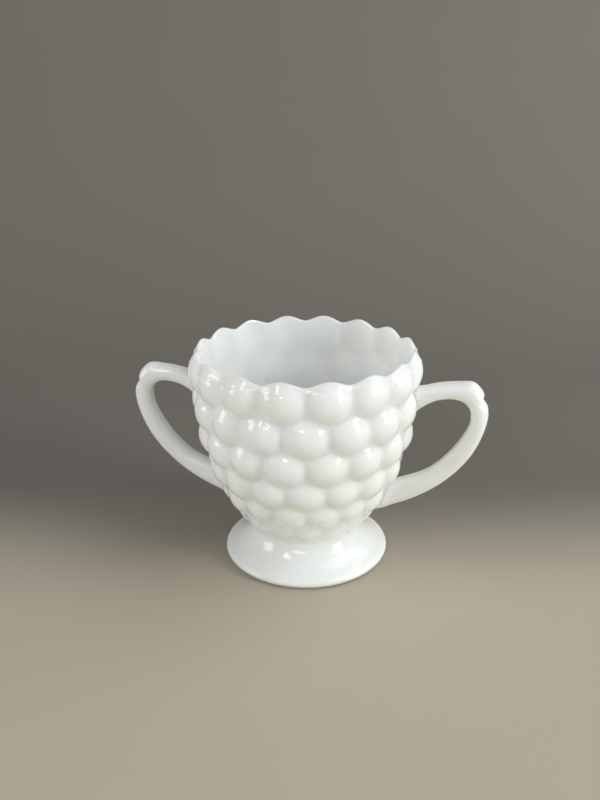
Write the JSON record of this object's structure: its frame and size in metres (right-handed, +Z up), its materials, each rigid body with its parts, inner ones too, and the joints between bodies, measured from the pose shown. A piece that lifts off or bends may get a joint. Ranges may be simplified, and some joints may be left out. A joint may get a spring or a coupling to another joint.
{
  "type": "footed sugar bowl",
  "caption": "Open footed sugar bowl in pressed milk glass, bubble relief outside, scalloped rim, flared foot and loop handles.",
  "frame": {"origin": "centre of the flat ring under the foot, on the surface the bowl stands on", "axes": "+Z up along the bowl's axis, +X through the two handles towards handle_right, +Y away from the front"},
  "size_m": [0.1312, 0.084, 0.0825],
  "materials": {
    "milk_glass": "polished opaque white glass"
  },
  "bodies": {
    "root": {"bowl": "milk_glass", "foot": "milk_glass", "handle_right": "milk_glass", "handle_left": "milk_glass"}
  },
  "joints": []
}
